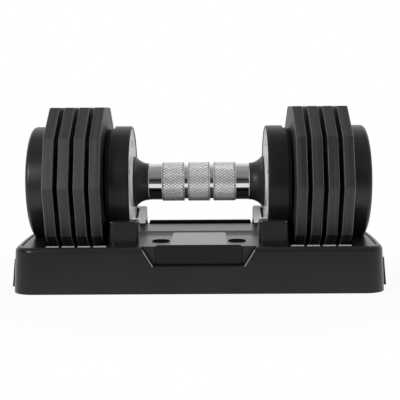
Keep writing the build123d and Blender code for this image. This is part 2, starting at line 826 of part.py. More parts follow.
# Moulded tray shell
with BuildPart() as tray_shell:
    with BuildSketch(Plane.XY.offset(tray_base_height)):
        tray_outline(0)
    extrude(amount=deck_height - tray_base_height, taper=tray_draft)
    fillet(tray_shell.faces().sort_by(Axis.Z)[-1].edges(), tray_top_edge)
    with BuildSketch(Plane.XY.offset(deck_height)):
        with Locations(((saddle_inner_x + saddle_outer_x) / 2, 0)):
            RectangleRounded(saddle_outer_x - saddle_inner_x, 2 * saddle_half_depth, saddle_corner)
        mirror(about=Plane.YZ)
    extrude(amount=saddle_top - deck_height, taper=saddle_draft)
    fillet(tray_shell.faces().sort_by(Axis.Z)[-2:].edges(), saddle_edge)
    with BuildSketch(section_plane(-saddle_outer_x)):
        Circle(cradle_radius)
    extrude(amount=2 * saddle_outer_x, mode=Mode.SUBTRACT)
    with BuildSketch(section_plane(cap_x)):
        Circle(cap_radius + seat_clearance)
    extrude(amount=cap_depth + sliding_clearance, mode=Mode.SUBTRACT)
    with BuildSketch(section_plane(-cap_outer_x - sliding_clearance)):
        Circle(cap_radius + seat_clearance)
    extrude(amount=cap_depth + sliding_clearance, mode=Mode.SUBTRACT)
    with BuildSketch(Plane.XY.offset(well_floor)):
        with Locations((saddle_outer_x, 0)):
            Rectangle(
                well_outer_x - saddle_outer_x,
                2 * well_half_depth,
                align=(Align.MIN, Align.CENTER),
            )
        mirror(about=Plane.YZ)
    extrude(amount=axis_height, mode=Mode.SUBTRACT)
    with BuildSketch(Plane.XY.offset(well_floor)):
        for number in range(1, plate_count):
            with Locations((plate_x(number) + plate_thickness + plate_gap / 2, 0)):
                Rectangle(divider_thickness, 2 * well_half_depth)
        mirror(about=Plane.YZ)
    extrude(amount=deck_height - divider_drop - well_floor)
    with BuildSketch(Plane.XY.offset(deck_height)):
        with BuildLine():
            groove_x = tray_half_length - ledge_groove_inset
            groove_bow = tray_bow * (ledge_groove_half_length / tray_half_depth) ** 2
            outer_arc = ThreePointArc(
                (groove_x - groove_bow, -ledge_groove_half_length),
                (groove_x, 0),
                (groove_x - groove_bow, ledge_groove_half_length),
            )
            inner_arc = ThreePointArc(
                (groove_x - groove_bow - ledge_groove_width, -ledge_groove_half_length),
                (groove_x - ledge_groove_width, 0),
                (groove_x - groove_bow - ledge_groove_width, ledge_groove_half_length),
            )
            Line(outer_arc @ 0, inner_arc @ 0)
            Line(outer_arc @ 1, inner_arc @ 1)
        make_face()
        mirror(about=Plane.YZ)
    extrude(amount=-ledge_groove_depth, mode=Mode.SUBTRACT)
    with BuildSketch(Plane.XZ.offset(-notch_back_y)):
        with BuildLine():
            notch_slope = (notch_top_half_width - notch_bottom_half_width) / (deck_height - notch_floor)
            notch_mouth = notch_bottom_half_width + notch_slope * (axis_height - notch_floor)
            Polyline(
                (-notch_bottom_half_width, notch_floor),
                (notch_bottom_half_width, notch_floor),
                (notch_mouth, axis_height),
                (-notch_mouth, axis_height),
                close=True,
            )
        make_face()
    extrude(amount=tray_half_depth, mode=Mode.SUBTRACT)
    notch_rim = tray_shell.edges(Select.LAST).filter_by(GeomType.LINE).sort_by(Axis.Y)[:3]
    chamfer(notch_rim, notch_edge)
    with BuildSketch(Plane.XY.offset(deck_height - tray_top_edge)):
        with Locations((0, rear_lip_y)):
            Rectangle(
                2 * rear_lip_half_length, rear_lip_width, align=(Align.CENTER, Align.MIN)
            )
    extrude(amount=tray_top_edge + rear_lip_rise)
    lip_top = tray_shell.faces(Select.LAST).sort_by(Axis.Z)[-1]
    fillet(lip_top.edges(), rear_lip_rise / 2)
    with BuildSketch(Plane.XY.offset(deck_height)):
        with Locations((0, rear_lip_y)):
            Rectangle(
                2 * rear_lip_half_length, rear_groove_width, align=(Align.CENTER, Align.MAX)
            )
    extrude(amount=-rear_groove_depth, mode=Mode.SUBTRACT)
    with BuildSketch(Plane.XY.offset(deck_height - panel_thickness + panel_proud)):
        with Locations((0, panel_centre_y)):
            RectangleRounded(
                2 * panel_half_width + 2 * press_clearance,
                panel_length + 2 * press_clearance,
                panel_corner,
            )
    extrude(amount=panel_thickness, mode=Mode.SUBTRACT)
    with BuildSketch(Plane.XY.offset(end_grip_bottom)):
        with BuildLine():
            grip_x = tray_half_length + end_grip_reach
            grip_bow = tray_bow * (end_grip_half_depth / tray_half_depth) ** 2
            grip_arc = ThreePointArc(
                (grip_x - grip_bow, -end_grip_half_depth),
                (grip_x, 0),
                (grip_x - grip_bow, end_grip_half_depth),
            )
            Polyline(
                grip_arc @ 1,
                (cap_outer_x, end_grip_half_depth),
                (cap_outer_x, -end_grip_half_depth),
                grip_arc @ 0,
            )
        make_face()
        mirror(about=Plane.YZ)
    extrude(amount=end_grip_height, taper=end_grip_draft)
    add(tray_cavity.part, mode=Mode.SUBTRACT)
    with BuildSketch(Plane.XY.offset(bolt_well_floor)):
        with Locations((bolt_spacing / 2, bolt_y), (-bolt_spacing / 2, bolt_y)):
            Circle(bolt_well_radius)
    extrude(amount=axis_height, mode=Mode.SUBTRACT)
    with BuildSketch():
        with Locations((bolt_spacing / 2, bolt_y), (-bolt_spacing / 2, bolt_y)):
            Circle(bolt_hole_radius)
    extrude(amount=axis_height, mode=Mode.SUBTRACT)
    with BuildSketch(Plane.XY.offset(cover_seat)):
        with GridLocations(2 * cover_screw_x, 2 * cover_screw_y, 2, 2):
            Circle(cap_screw_radius + press_clearance)
        with Locations((0, -cover_screw_y), (0, cover_screw_y)):
            Circle(cap_screw_radius + press_clearance)
    extrude(amount=cap_screw_length, mode=Mode.SUBTRACT)
export_piece(tray_shell.part, "tray_shell")

# Bare plate in the front notch
with BuildPart() as sign_plate:
    sign_height = deck_height + sign_rise - notch_floor - sign_margin
    with BuildSketch(Plane.XZ.offset(-notch_back_y)):
        with Locations((0, notch_floor + sign_margin + sign_height / 2)):
            RectangleRounded(2 * sign_half_width, sign_height, sign_corner)
    extrude(amount=sign_thickness)
    chamfer(sign_plate.faces().sort_by(Axis.Y)[0].edges(), sign_edge)
export_piece(sign_plate.part, "sign_plate")

# Blank panel let into the deck
with BuildPart() as deck_panel:
    with BuildSketch(Plane.XY.offset(deck_height - panel_thickness + panel_proud)):
        with Locations((0, panel_centre_y)):
            RectangleRounded(2 * panel_half_width, panel_length, panel_corner)
    extrude(amount=panel_thickness)
export_piece(deck_panel.part, "deck_panel")

# Buffer strips on the front and rear rim, one at the inner face of each plate
with BuildPart() as plate_buffers:
    with BuildSketch(Plane.XY.offset(deck_height)):
        for number in range(1, plate_count + 1):
            with Locations((plate_x(number), -buffer_y)):
                Rectangle(plate_pitch - buffer_spacing, buffer_depth)
        mirror(about=Plane.YZ)
        mirror(about=Plane.XZ)
    extrude(amount=buffer_height)
    chamfer(plate_buffers.faces().group_by(Axis.Z)[-1].edges(), buffer_edge)
export_piece(plate_buffers.part, "plate_buffers")

# Base cover under the tray
with BuildPart() as tray_base_cover:
    with BuildSketch(Plane.XY.offset(tray_base_height)):
        tray_outline(cover_inset)
    extrude(amount=cover_thickness)
    with BuildSketch(Plane.XY.offset(tray_base_height)):
        with GridLocations(2 * foot_x, 2 * foot_y, 2, 2):
            Circle(foot_radius + press_clearance)
    extrude(amount=foot_height - tray_base_height, mode=Mode.SUBTRACT)
    with BuildSketch(Plane.XY.offset(tray_base_height)):
        with Locations((bolt_spacing / 2, bolt_y), (-bolt_spacing / 2, bolt_y)):
            Circle(bolt_hole_radius)
    extrude(amount=cover_thickness, mode=Mode.SUBTRACT)
    with Locations(Plane(origin=(0, 0, tray_base_height), x_dir=(1, 0, 0), z_dir=(0, 0, -1))):
        with GridLocations(2 * cover_screw_x, 2 * cover_screw_y, 2, 2):
            CounterSinkHole(
                cap_screw_radius + screw_clearance, cap_screw_head_radius + screw_clearance
            )
        with Locations((0, -cover_screw_y), (0, cover_screw_y)):
            CounterSinkHole(
                cap_screw_radius + screw_clearance, cap_screw_head_radius + screw_clearance
            )
export_piece(tray_base_cover.part, "tray_base_cover")

# Screws of the base cover
with BuildPart() as cover_screws:
    cover_screw_spots = GridLocations(2 * cover_screw_x, 2 * cover_screw_y, 2, 2).locations
    cover_screw_spots += Locations((0, -cover_screw_y), (0, cover_screw_y)).locations
    with BuildSketch(Plane.XY.offset(tray_base_height)):
        with Locations(*cover_screw_spots):
            Circle(cap_screw_radius)
    extrude(amount=cap_screw_length)
    with BuildSketch(Plane.XY.offset(tray_base_height)):
        with Locations(*cover_screw_spots):
            Circle(cap_screw_head_radius)
    extrude(amount=cap_screw_head_radius - cap_screw_radius, taper=45)
    with BuildSketch(Plane.XY.offset(tray_base_height)):
        with Locations(*cover_screw_spots):
            RegularPolygon(cap_socket_radius, 6)
    extrude(amount=cap_socket_depth, mode=Mode.SUBTRACT)
export_piece(cover_screws.part, "tray_cover_screws")

# Rubber feet
with BuildPart() as tray_feet:
    with BuildSketch():
        with GridLocations(2 * foot_x, 2 * foot_y, 2, 2):
            Circle(foot_radius)
    extrude(amount=foot_height)
export_piece(tray_feet.part, "tray_feet")
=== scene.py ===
# %% [markdown]
# # An adjustable dumbbell in its storage tray
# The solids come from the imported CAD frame, in metres, with every piece already in its place.
# Blender adds what the solids leave out: the knurled grip, the numbers on the dials, thin trim, the
# finishes, a small photo studio and the camera.

# %% Load the frame and keep its box
import json
import math

import bmesh
import bpy
from mathutils import Matrix, Vector


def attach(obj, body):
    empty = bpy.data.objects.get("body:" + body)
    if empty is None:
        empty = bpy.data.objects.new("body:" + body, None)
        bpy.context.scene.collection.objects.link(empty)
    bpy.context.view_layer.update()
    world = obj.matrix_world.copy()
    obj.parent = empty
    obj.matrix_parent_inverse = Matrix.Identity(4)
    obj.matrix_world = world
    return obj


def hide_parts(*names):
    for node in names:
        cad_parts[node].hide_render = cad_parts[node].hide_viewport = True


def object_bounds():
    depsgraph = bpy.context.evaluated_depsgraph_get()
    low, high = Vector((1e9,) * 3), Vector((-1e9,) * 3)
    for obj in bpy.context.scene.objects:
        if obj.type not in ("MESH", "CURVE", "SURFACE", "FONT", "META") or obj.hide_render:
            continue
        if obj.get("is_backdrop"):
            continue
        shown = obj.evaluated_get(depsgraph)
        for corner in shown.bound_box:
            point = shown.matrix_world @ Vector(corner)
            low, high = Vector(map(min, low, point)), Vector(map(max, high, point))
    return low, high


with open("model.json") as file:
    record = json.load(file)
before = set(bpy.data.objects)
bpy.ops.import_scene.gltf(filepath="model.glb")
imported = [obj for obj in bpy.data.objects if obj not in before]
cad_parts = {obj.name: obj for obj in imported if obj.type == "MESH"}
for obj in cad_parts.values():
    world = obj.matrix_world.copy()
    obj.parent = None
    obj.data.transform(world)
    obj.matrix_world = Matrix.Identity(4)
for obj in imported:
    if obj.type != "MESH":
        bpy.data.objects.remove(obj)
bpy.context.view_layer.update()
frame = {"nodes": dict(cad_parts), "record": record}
scene = bpy.context.scene
scene.view_settings.view_transform = "Standard"

# %% [markdown]
# ## Camera
# The dumbbell is photographed square on from the front, a little above the grip, with a short
# telephoto lens. Circles on the drums and the ten-sided outlines give the distance: about 0.87 m.
# The camera could be aimed with a constraint, but plain angles keep the small roll of the picture.

# %% Place the camera
LENS_MM, SENSOR_MM = 77.08, 36.0
CAMERA_PLACE = (0.00943, -0.86525, 0.17059)
CAMERA_ANGLES = (83.91, 0.406, 0.527)
camera_data = bpy.data.cameras.new("product_camera")
camera_data.lens = LENS_MM
camera_data.sensor_width = SENSOR_MM
camera = bpy.data.objects.new("product_camera", camera_data)
camera.location = CAMERA_PLACE
camera.rotation_euler = [math.radians(angle) for angle in CAMERA_ANGLES]
scene.collection.objects.link(camera)
scene.camera = camera
print("camera", tuple(round(v, 3) for v in camera.location))

# %% [markdown]
# ## Studio
# Product pictures like this one are taken on a white sweep. What the camera and the reflections see
# of it is plain white, while the light on the object comes from soft boxes and a dim room, so the
# black plastic stays black. Light Path tells the two apart. Brighter lamps could make the sweep
# white too, but then the pale dials would burn out. The helpers below save a few lines for every
# node that follows.


# %% Node helpers
def add_node(tree, kind, **settings):
    made = tree.nodes.new(kind)
    for key, value in settings.items():
        setattr(made, key, value)
    return made


def feed(tree, source, target):
    """Plugs a socket, or sets a plain value on an input."""
    if isinstance(source, bpy.types.NodeSocket):
        tree.links.new(source, target)
    else:
        target.default_value = source


def calculate(tree, operation, *inputs, clamp=False):
    made = add_node(tree, "ShaderNodeMath", operation=operation, use_clamp=clamp)
    for socket, value in zip(made.inputs, inputs):
        feed(tree, value, socket)
    return made.outputs[0]


def ramp_between(tree, source, first, last, low, high, kind="SMOOTHSTEP"):
    """low up to first, high from last on, and a smooth or straight step between them."""
    made = add_node(tree, "ShaderNodeMapRange", interpolation_type=kind)
    tree.links.new(source, made.inputs["Value"])
    for socket, value in zip(made.inputs[1:5], (first, last, low, high)):
        socket.default_value = value
    return made.outputs["Result"]


def split(tree, vector):
    """The X, Y and Z of a vector."""
    made = add_node(tree, "ShaderNodeSeparateXYZ")
    tree.links.new(vector, made.inputs[0])
    return made.outputs


def coordinate(tree, kind):
    return add_node(tree, "ShaderNodeTexCoord").outputs[kind]


def seen_directly(tree):
    """1 for camera, mirror and glass rays, 0 for the rays that carry light."""
    path = add_node(tree, "ShaderNodeLightPath")
    seen = calculate(
        tree, "MAXIMUM", path.outputs["Is Camera Ray"], path.outputs["Is Glossy Ray"]
    )
    return path, calculate(tree, "MAXIMUM", seen, path.outputs["Is Transmission Ray"])


# %% [markdown]
# ### Surroundings
# Chrome shows what is around it, and in an all white room it would look like white plastic. So for
# reflections only, the room is an arch that is dark on the camera's side and white behind the
# object. The arch is a colour ramp over the angle from the front horizon to the back horizon.

# %% White room
ROOM_LIGHT = 0.18
ROOM_ARCH = (  # degrees from the front horizon, level
    (0, 0.10), (13, 0.015), (19, 0.06), (26, 0.18), (38, 0.29), (60, 0.28),
    (90, 0.40), (108, 0.42), (122, 0.75), (135, 0.92), (160, 1.0),
)
ARCH_END = 180
WHITE = (1, 1, 1, 1)
world = bpy.data.worlds.new("white_room")
world.use_nodes = True
scene.world = world
tree = world.node_tree
tree.nodes.clear()
path, seen = seen_directly(tree)

direction = split(tree, coordinate(tree, "Generated"))
frontwards = calculate(tree, "MULTIPLY", direction["Y"], -1.0)
over = calculate(tree, "ARCTAN2", direction["Z"], frontwards)
arch = add_node(tree, "ShaderNodeValToRGB")
tree.links.new(calculate(tree, "DIVIDE", over, math.pi, clamp=True), arch.inputs["Fac"])
stops = arch.color_ramp.elements
stops.remove(stops[1])
for degrees, level in ROOM_ARCH:
    stop = stops.new(degrees / ARCH_END) if degrees else stops[0]
    stop.color = (level, level, level, 1)
room = add_node(tree, "ShaderNodeMix", data_type="RGBA")
room.inputs["A"].default_value = WHITE
tree.links.new(path.outputs["Is Glossy Ray"], room.inputs["Factor"])
tree.links.new(arch.outputs["Color"], room.inputs["B"])

shown = add_node(tree, "ShaderNodeBackground")
tree.links.new(room.outputs["Result"], shown.inputs["Color"])
light = add_node(tree, "ShaderNodeBackground")
light.inputs["Color"].default_value = WHITE
light.inputs["Strength"].default_value = ROOM_LIGHT
either = add_node(tree, "ShaderNodeMixShader")
tree.links.new(seen, either.inputs["Fac"])
tree.links.new(light.outputs[0], either.inputs[1])
tree.links.new(shown.outputs[0], either.inputs[2])
tree.links.new(either.outputs[0], add_node(tree, "ShaderNodeOutputWorld").inputs["Surface"])
print("room:", len(stops), "stops, light", ROOM_LIGHT)

# %% [markdown]
# ### Floor
# The floor is a sheet of paper. Near the object a share of plain paper stays, which keeps the
# shadow, and further out it is all white. In reflections its front part is dark, like the room.

# %% Paper floor
FLOOR_HALF = 6.0
PAPER_GREY = 0.5
WHITE_NEAR = 0.95
WHITE_FROM, WHITE_FULL = 0.19, 0.32
FRONT_DARK, FRONT_PALE, FRONT_LEVEL = -0.66, -0.48, 0.10
floor_mesh = bpy.data.meshes.new("studio_floor")
bm = bmesh.new()
bmesh.ops.create_grid(bm, x_segments=1, y_segments=1, size=FLOOR_HALF)
bm.to_mesh(floor_mesh)
bm.free()
floor = bpy.data.objects.new("studio_floor", floor_mesh)
scene.collection.objects.link(floor)
floor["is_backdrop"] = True

sweep = bpy.data.materials.new("white_sweep")
sweep.use_nodes = True
tree = sweep.node_tree
tree.nodes.clear()
path, seen = seen_directly(tree)
spot = coordinate(tree, "Object")
away = add_node(tree, "ShaderNodeVectorMath", operation="LENGTH")
tree.links.new(spot, away.inputs[0])
white_share = ramp_between(tree, away.outputs["Value"], WHITE_FROM, WHITE_FULL, WHITE_NEAR, 1.0)
front_level = ramp_between(tree, split(tree, spot)["Y"], FRONT_DARK, FRONT_PALE, FRONT_LEVEL, 1.0)
front_loss = calculate(tree, "SUBTRACT", 1.0, front_level)
mirrored_loss = calculate(tree, "MULTIPLY", front_loss, path.outputs["Is Glossy Ray"])
paper = add_node(tree, "ShaderNodeBsdfDiffuse")
paper.inputs["Color"].default_value = (PAPER_GREY, PAPER_GREY, PAPER_GREY, 1)
white = add_node(tree, "ShaderNodeEmission")
tree.links.new(calculate(tree, "SUBTRACT", 1.0, mirrored_loss), white.inputs["Strength"])
mixed = add_node(tree, "ShaderNodeMixShader")
tree.links.new(calculate(tree, "MULTIPLY", seen, white_share), mixed.inputs["Fac"])
tree.links.new(paper.outputs[0], mixed.inputs[1])
tree.links.new(white.outputs[0], mixed.inputs[2])
tree.links.new(mixed.outputs[0], add_node(tree, "ShaderNodeOutputMaterial").inputs["Surface"])
floor_mesh.materials.append(sweep)
print("floor", 2 * FLOOR_HALF, "m wide")

# %% [markdown]
# ### Soft boxes
# Three wide boxes light the top and both sides softly. Only the narrow key box on the left shows in
# the gloss, as the pale streaks on caps and plates. Point lamps would be simpler, but their
# reflections would be small hot dots.


# %% Light the object
def soft_box(name, place, width, height, watts, mirrored=False):
    data = bpy.data.lights.new(name, "AREA")
    data.shape = "RECTANGLE"
    data.size, data.size_y, data.energy = width, height, watts
    lamp = bpy.data.objects.new(name, data)
    lamp.location = place
    lamp.rotation_euler = (LIT_SPOT - Vector(place)).to_track_quat("-Z", "Y").to_euler()
    lamp.visible_glossy = mirrored
    scene.collection.objects.link(lamp)


LIT_SPOT = Vector((0, 0, 0.09))
soft_box("top_box", (0, -0.1, 1.5), 1.4, 0.9, 5.0)
soft_box("left_box", (-1.2, -0.8, 0.40), 0.8, 0.6, 9.0)
soft_box("right_box", (1.1, -1.0, 0.40), 0.8, 0.6, 14.0)
soft_box("key_box", (-0.80, -1.15, 0.63), 0.3, 0.5, 9.0, mirrored=True)

# %% [markdown]
# ## Finishes
# Every finish starts from the same few moves: a noise on Object coordinates at the real size of the
# grain, a range for colour and roughness, and a shallow relief. Sizes are metres, so a grain of
# 0.0004 is 0.4 mm wherever the piece sits. A stretch makes the noise slower along an axis, which
# turns its grain into lines. Pictures of real surfaces could do the same, but a noise has no seams
# and needs no unwrapping.


# %% Finish helpers: shader and textures
AXIS_HEIGHT = 0.0973
EVEN = (1, 1, 1)


def new_finish(name, colour, roughness, metallic=0.0, specular=0.5):
    material = bpy.data.materials.new(name)
    material.use_nodes = True
    tree = material.node_tree
    shader = tree.nodes["Principled BSDF"]
    shader.inputs["Base Color"].default_value = (*colour, 1)
    shader.inputs["Roughness"].default_value = roughness
    shader.inputs["Metallic"].default_value = metallic
    shader.inputs["Specular IOR Level"].default_value = specular
    return material, tree, shader


def object_place(tree, stretch=EVEN, shift=(0, 0, 0)):
    place = add_node(tree, "ShaderNodeMapping")
    place.inputs["Location"].default_value = shift
    place.inputs["Scale"].default_value = stretch
    tree.links.new(coordinate(tree, "Object"), place.inputs["Vector"])
    return place.outputs["Vector"]


def grain(tree, size, detail=2.0, stretch=EVEN):
    noise = add_node(tree, "ShaderNodeTexNoise")
    noise.inputs["Scale"].default_value = 1 / size
    noise.inputs["Detail"].default_value = detail
    tree.links.new(object_place(tree, stretch), noise.inputs["Vector"])
    return noise.outputs["Fac"]


def axis_rings(tree, size, detail=2.0):
    """Fine rings round the handle's axis, as a lathe or a brush leaves on a flat disc."""
    flat = object_place(tree, (0, 1, 1), (0, 0, -AXIS_HEIGHT))
    length = add_node(tree, "ShaderNodeVectorMath", operation="LENGTH")
    tree.links.new(flat, length.inputs[0])
    rings = add_node(tree, "ShaderNodeTexNoise", noise_dimensions="1D")
    rings.inputs["Scale"].default_value = 1 / size
    rings.inputs["Detail"].default_value = detail
    tree.links.new(length.outputs["Value"], rings.inputs["W"])
    return rings.outputs["Fac"]


# %% Finish helpers: what a texture drives
NOISE_LOW, NOISE_HIGH = 0.3, 0.7


def spread(tree, source, low, high):
    """Stretches the middle of a noise over a range."""
    return ramp_between(tree, source, NOISE_LOW, NOISE_HIGH, low, high, "LINEAR")


def tint(tree, shader, source, dark, pale):
    """Lets a noise wander between two colours."""
    made = add_node(tree, "ShaderNodeMix", data_type="RGBA")
    feed(tree, spread(tree, source, 0.0, 1.0), made.inputs["Factor"])
    made.inputs["A"].default_value = (*dark, 1)
    made.inputs["B"].default_value = (*pale, 1)
    tree.links.new(made.outputs["Result"], shader.inputs["Base Color"])


def lay_over(tree, shader, share, colour):
    """Covers the base colour with another one where share is 1."""
    made = add_node(tree, "ShaderNodeMix", data_type="RGBA")
    feed(tree, share, made.inputs["Factor"])
    tree.links.new(shader.inputs["Base Color"].links[0].from_socket, made.inputs["A"])
    made.inputs["B"].default_value = (*colour, 1)
    tree.links.new(made.outputs["Result"], shader.inputs["Base Color"])


def relief(tree, shader, source, depth):
    """A shallow bump. Called twice, the second one is laid over the first."""
    bump = add_node(tree, "ShaderNodeBump")
    bump.inputs["Distance"].default_value = depth
    bump.inputs["Strength"].default_value = 1.0
    tree.links.new(source, bump.inputs["Height"])
    if shader.inputs["Normal"].is_linked:
        tree.links.new(shader.inputs["Normal"].links[0].from_socket, bump.inputs["Normal"])
    tree.links.new(bump.outputs["Normal"], shader.inputs["Normal"])


def grey(level):
    """A grey with a trace of blue, as black plastic and steel have."""
    return (level, level, level * BLUE_TRACE)


def off_halfway(tree, part):
    """How far a part of the normal is from that of a face that leans 45 degrees."""
    return calculate(tree, "ABSOLUTE", calculate(tree, "SUBTRACT", part, HALFWAY))


BLUE_TRACE = 1.03
HALFWAY = 0.707
finishes = {}

# %% [markdown]
# ### Powder coat on the iron plates
# The plates are cast, ground along the rim and powder coated. On the rim the grinding shows through
# as fine lines round the plate. The bevelled edges are painted paler, partly as wear where the coat
# is thin and partly as a painted highlight where the bevels would catch the light. The edge faces
# are the ones whose normal leans halfway, which Texture Coordinate's Normal tells directly.

# %% Plates
STREAK_SIZE, BAND_SIZE, PITS_SIZE, WEAR_SIZE = 0.00035, 0.0026, 0.0009, 0.004
STREAK_DEPTH, PITS_DEPTH = 0.00004, 0.00005
COAT_DARK, COAT_PALE, WORN_AND_HIGHLIGHT_GREY = 0.007, 0.025, 0.09
COAT_SMOOTH, COAT_ROUGH = 0.42, 0.54
EDGE_NONE, EDGE_FULL = 0.25, 0.1
WEAR_LEAST = 0.35
material, tree, shader = new_finish("plate_iron", grey(COAT_DARK), COAT_SMOOTH)
streaks = grain(tree, STREAK_SIZE, 3.0, (1, 0.02, 0.02))
bands = grain(tree, BAND_SIZE, 3.0, (1, 0.015, 0.015))
tint(tree, shader, bands, grey(COAT_DARK), grey(COAT_PALE))
feed(tree, spread(tree, streaks, COAT_SMOOTH, COAT_ROUGH), shader.inputs["Roughness"])
relief(tree, shader, grain(tree, PITS_SIZE), PITS_DEPTH)
relief(tree, shader, streaks, STREAK_DEPTH)
# Pale bevels: partly wear, where the noise thins the coat, and partly a painted highlight along the
# edges.
sideways = calculate(tree, "ABSOLUTE", split(tree, coordinate(tree, "Normal"))["X"])
edge = ramp_between(tree, off_halfway(tree, sideways), EDGE_NONE, EDGE_FULL, 0.0, 1.0, "LINEAR")
wear = spread(tree, grain(tree, WEAR_SIZE, 3.0), WEAR_LEAST, 1.0)
lay_over(tree, shader, calculate(tree, "MULTIPLY", edge, wear), grey(WORN_AND_HIGHLIGHT_GREY))
finishes["plate_iron"] = material
print("plate coat:", len(tree.nodes), "nodes")

# %% [markdown]
# ### Moulded plastics
# Tray, cover, drums, caps and collars are black plastic, each with its own mould texture. They
# differ only in numbers, so one function makes them all from a table. The drums and caps get faint
# lines along the turn, the collars turned rings and the small front plate lines along its length.


# %% Plastics and rubber
def moulded(name, dark, pale, rough_low, rough_high, grain_size, grain_depth, specular):
    material, tree, shader = new_finish(name, grey(dark), rough_low, specular=specular)
    spark = grain(tree, grain_size, 3.0)
    tint(tree, shader, grain(tree, CLOUD_SIZE, 4.0), grey(dark), grey(pale))
    feed(tree, spread(tree, spark, rough_low, rough_high), shader.inputs["Roughness"])
    relief(tree, shader, spark, grain_depth)
    finishes[name] = material
    return tree, shader


CLOUD_SIZE = 0.05
PLASTICS = (  # name, darkest, palest, roughness from and to, grain size and depth, specular
    ("tray_plastic", 0.008, 0.011, 0.22, 0.30, 0.0005, 0.00002, 0.3),
    ("cover_plastic", 0.018, 0.026, 0.45, 0.6, 0.0009, 0.00006, 0.35),
    ("panel_plastic", 0.05, 0.07, 0.18, 0.26, 0.0007, 0.00001, 0.35),
    ("buffer_plastic", 0.24, 0.31, 0.5, 0.6, 0.0006, 0.00003, 0.35),
    # The pads' pale colour is a painted reflection of the sweep on the cradles.
    ("reflection_pad_plastic", 0.86, 0.92, 0.45, 0.55, 0.0006, 0.00003, 0.35),
    ("foot_rubber", 0.012, 0.02, 0.75, 0.9, 0.0008, 0.00008, 0.35),
    # The well ring's near-black, almost unreflecting colour is painted shade round the bolt wells.
    ("well_shade_rubber", 0.003, 0.005, 0.8, 0.9, 0.0008, 0.00004, 0.05),
    ("sign_plastic", 0.005, 0.007, 0.22, 0.30, 0.0006, 0.000015, 0.2),
    ("drum_plastic", 0.008, 0.011, 0.30, 0.38, 0.0007, 0.00002, 0.22),
    ("cap_plastic", 0.008, 0.011, 0.30, 0.38, 0.0007, 0.00002, 0.45),
    ("collar_plastic", 0.014, 0.018, 0.34, 0.44, 0.0006, 0.00002, 0.35),
)
LINES = {  # name: line size, detail, stretch, depth
    "sign_plastic": (0.0004, 2.0, (0.03, 1, 1), 0.00002),
    "drum_plastic": (0.0006, 2.0, (1, 0.01, 0.01), 0.000015),
    "cap_plastic": (0.0006, 2.0, (1, 0.01, 0.01), 0.000015),
    "collar_plastic": (0.0007, 0.0, (1, 0, 0), 0.00012),
}
nodes_of = {}
for name, *numbers in PLASTICS:
    tree, shader = nodes_of[name] = moulded(name, *numbers)
    if name in LINES:
        size, detail, stretch, depth = LINES[name]
        relief(tree, shader, grain(tree, size, detail, stretch), depth)
print("plastics", [name for name, *numbers in PLASTICS])

# %% [markdown]
# The tray has two more marks of its own. Its level faces are a little coarser than its walls, and
# the two slanted edges of the front notch carry a painted highlight, a pale line where they would
# catch the light. Both read the normal: an edge face of the notch leans halfway to the front and
# also sideways and up.

# %% Level faces and the painted highlight on the notch edges of the tray
LEVEL_FROM, LEVEL_FULL, LEVEL_ROUGHER = 0.80, 0.95, 0.035
LEAN_FULL, LEAN_NONE = 0.06, 0.14
SIDE_NONE, SIDE_FULL = 0.20, 0.35
UP_NONE, UP_FULL = 0.15, 0.30
NOTCH_REACH, NOTCH_END = 0.08, 0.10
NOTCH_HIGHLIGHT_GREY = 0.24
tree, shader = nodes_of["tray_plastic"]
facing = split(tree, coordinate(tree, "Normal"))
coarser = ramp_between(tree, facing["Z"], LEVEL_FROM, LEVEL_FULL, 0.0, LEVEL_ROUGHER)
walls = shader.inputs["Roughness"].links[0].from_socket
feed(tree, calculate(tree, "ADD", walls, coarser), shader.inputs["Roughness"])
frontwards = calculate(tree, "MULTIPLY", facing["Y"], -1.0)
sideways = calculate(tree, "ABSOLUTE", facing["X"])
from_middle = calculate(tree, "ABSOLUTE", split(tree, object_place(tree))["X"])
# Painted highlight: the slanted notch edges are painted pale where they would catch the light.
notch_highlight = ramp_between(tree, off_halfway(tree, frontwards), LEAN_FULL, LEAN_NONE, 1.0, 0.0)
for limit in (
    ramp_between(tree, sideways, SIDE_NONE, SIDE_FULL, 0.0, 1.0),
    ramp_between(tree, facing["Z"], UP_NONE, UP_FULL, 0.0, 1.0),
    ramp_between(tree, from_middle, NOTCH_REACH, NOTCH_END, 1.0, 0.0),
):
    notch_highlight = calculate(tree, "MULTIPLY", notch_highlight, limit)
lay_over(tree, shader, notch_highlight, grey(NOTCH_HIGHLIGHT_GREY))
print("tray plastic:", len(tree.nodes), "nodes")

# %% [markdown]
# ### Metals
# The dials are brushed in circles, the chrome is almost clean, and the hidden steel parts keep
# their turning, grinding or casting marks, which show when the dumbbell is lifted from the tray.
# A picture of brushed steel could be laid on, but it would need a seam and one fixed size. So each
# mark is one stretched noise, and roughness and relief share it.


# %% Marks of the tools
def brushed(tree):
    return axis_rings(tree, 0.0004)


def turned(tree):
    return grain(tree, 0.0003, 2.0, (1, 0.01, 0.01))


def ground(tree):
    return grain(tree, 0.0003, 2.0, (0.02, 1, 1))


def milled(tree):
    return grain(tree, 0.0004, 2.0, (1, 1, 0.03))


def cast(tree):
    return grain(tree, 0.0012, 5.0)


def plated(tree):
    return grain(tree, 0.003, 5.0)


# %% Dial, chrome and steels
def metal(name, dark, pale, rough_low, rough_high, marks, depth, metallic=1.0):
    material, tree, shader = new_finish(name, dark, rough_low, metallic)
    texture = marks(tree)
    tint(tree, shader, grain(tree, TARNISH_SIZE, 4.0), dark, pale)
    feed(tree, spread(tree, texture, rough_low, rough_high), shader.inputs["Roughness"])
    relief(tree, shader, texture, depth)
    finishes[name] = material


